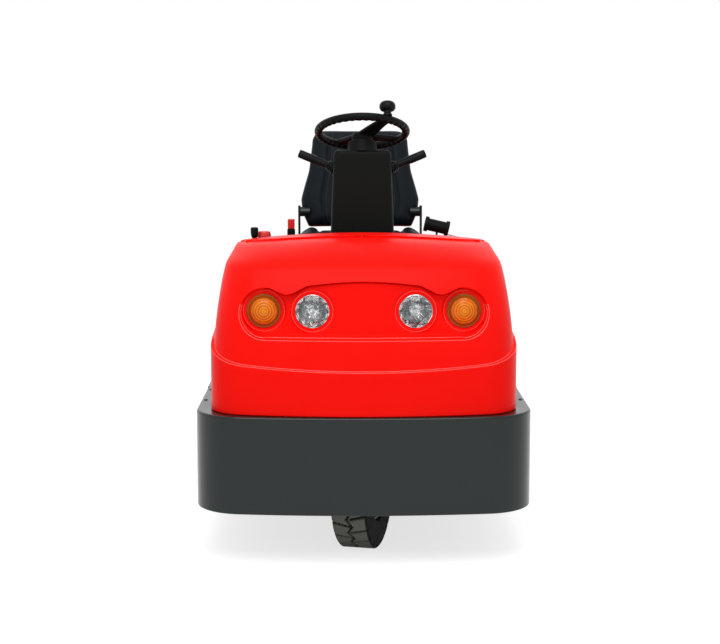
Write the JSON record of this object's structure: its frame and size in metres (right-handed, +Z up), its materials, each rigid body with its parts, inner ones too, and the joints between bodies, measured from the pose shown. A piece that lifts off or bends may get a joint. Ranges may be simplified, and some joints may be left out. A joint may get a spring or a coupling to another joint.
{
  "type": "baggage tug",
  "caption": "Three-wheel electric baggage tug with a rounded hood, wide bumper, driver's seat on a tilting battery lid, steered front wheel and stepped pin coupling.",
  "frame": {"origin": "on the ground, midway between bumper face and coupling end, on the centreline", "axes": "+Y to the rear, +X to the tug's left, +Z up; the front faces -Y"},
  "size_m": [1, 1.85, 1.3691],
  "materials": {
    "frame_grey": "satin",
    "hood_red": "gloss",
    "reflector": "mirror",
    "clear_lens": "clear",
    "amber_lens": "clear tint",
    "red_lens": "clear tint",
    "dash_black": "grained",
    "display_black": "gloss",
    "bright_steel": "brushed",
    "button_red": "gloss",
    "mat_rubber": "ribbed",
    "seat_vinyl": "grained",
    "wheel_soft": "satin",
    "cast_grey": "rough",
    "battery_grey": "satin",
    "tyre_black": "matt",
    "rim_grey": "satin"
  },
  "bodies": {
    "tug": {"side_plates": "frame_grey", "floor_pan": "frame_grey", "rear_frame": "frame_grey", "front_well": "frame_grey", "front_bumper": "frame_grey", "hood_skirt": "hood_red", "hood_shell": "hood_red", "headlamp_bowls": "reflector", "headlamp_lenses": "clear_lens", "turn_lamp_bowls": "reflector", "turn_lamp_lenses": "amber_lens", "dash_panel": "dash_black", "dash_display": "display_black", "key_switch": "bright_steel", "column_cover": "dash_black", "control_stalks": "dash_black", "stop_button": "button_red", "selector_lever": "dash_black", "floor_mat": "mat_rubber", "brake_pedal": "mat_rubber", "drive_pedal": "mat_rubber", "steering_bearing": "cast_grey", "battery_block": "battery_grey", "rear_body": "hood_red", "rear_deck": "hood_red", "lid_hinges": "frame_grey", "drive_axle": "cast_grey", "drive_motor": "cast_grey", "stop_lamps": "red_lens", "rear_turn_lamps": "amber_lens", "tow_coupling": "cast_grey"},
    "lid": {"battery_lid": "hood_red", "seat_rails": "frame_grey", "seat_cushion": "seat_vinyl", "seat_back": "seat_vinyl", "seat_arms": "frame_grey", "belt_buckle": "dash_black", "belt_button": "button_red", "belt_retractor": "dash_black", "belt_tongue": "bright_steel"},
    "steering": {"steering_wheel": "wheel_soft", "spinner_knob": "dash_black"},
    "fork": {"steer_fork": "frame_grey", "front_axle": "bright_steel"},
    "front_wheel": {"front_rim": "rim_grey", "front_tyre": "tyre_black"},
    "rear_left_wheel": {"rear_left_rim": "rim_grey", "rear_left_tyre": "tyre_black"},
    "rear_right_wheel": {"rear_right_rim": "rim_grey", "rear_right_tyre": "tyre_black"},
    "pin": {"tow_pin": "bright_steel"}
  },
  "joints": [
    {"name": "steer", "type": "hinge", "parent": "tug", "child": "fork", "pos_m": [0, -0.655, 0.3], "axis": [0, 0, 1], "range_deg": [-61, 89]},
    {"name": "front_wheel_spin", "type": "hinge", "parent": "fork", "child": "front_wheel", "pos_m": [0, -0.655, 0.207], "axis": [0.9703, -0.2419, 0], "continuous": true},
    {"name": "rear_left_spin", "type": "hinge", "parent": "tug", "child": "rear_left_wheel", "pos_m": [0.415, 0.495, 0.23], "axis": [1, 0, 0], "continuous": true},
    {"name": "rear_right_spin", "type": "hinge", "parent": "tug", "child": "rear_right_wheel", "pos_m": [-0.415, 0.495, 0.23], "axis": [1, 0, 0], "continuous": true},
    {"name": "steering_wheel_turn", "type": "hinge", "parent": "tug", "child": "steering", "pos_m": [0, -0.295, 1.269], "axis": [0, 0.342, 0.9397], "range_deg": [-249, 361]},
    {"name": "lid_open", "type": "hinge", "parent": "tug", "child": "lid", "pos_m": [0, 0.648, 0.776], "axis": [-1, 0, 0], "range_deg": [0, 70]},
    {"name": "tow_pin_lift", "type": "slide", "parent": "tug", "child": "pin", "axis": [0, 0, 1], "range_m": [0, 0.3]}
  ],
  "couplings": [
    {"joint": "steering_wheel_turn", "follows": "steer", "ratio": 4}
  ]
}
